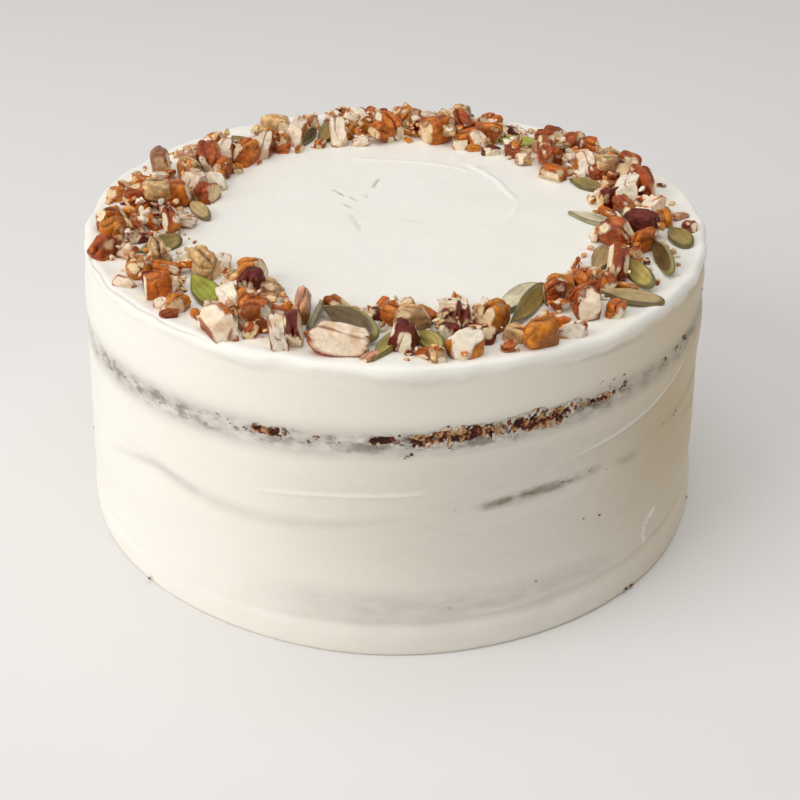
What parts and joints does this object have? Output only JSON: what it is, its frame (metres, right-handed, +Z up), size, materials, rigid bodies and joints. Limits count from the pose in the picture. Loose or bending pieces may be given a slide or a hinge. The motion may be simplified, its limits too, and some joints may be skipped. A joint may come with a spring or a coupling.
{
  "type": "carrot cake",
  "caption": "Round iced carrot cake: solid sponge in a thin scraped frosting coat with bare crumb patches and a ring of chopped pecans and pumpkin seeds on top.",
  "frame": {"origin": "middle of the cake's underside, on the table", "axes": "+Z up through the cake, -Y towards the front, where the largest bare patch lies just right of the middle"},
  "size_m": [0.1564, 0.1564, 0.0758],
  "materials": {
    "frosting": "soft satin cream-cheese frosting",
    "sponge": "open dark brown crumb"
  },
  "bodies": {
    "root": {"frosting": "frosting", "sponge": "sponge"}
  },
  "joints": []
}
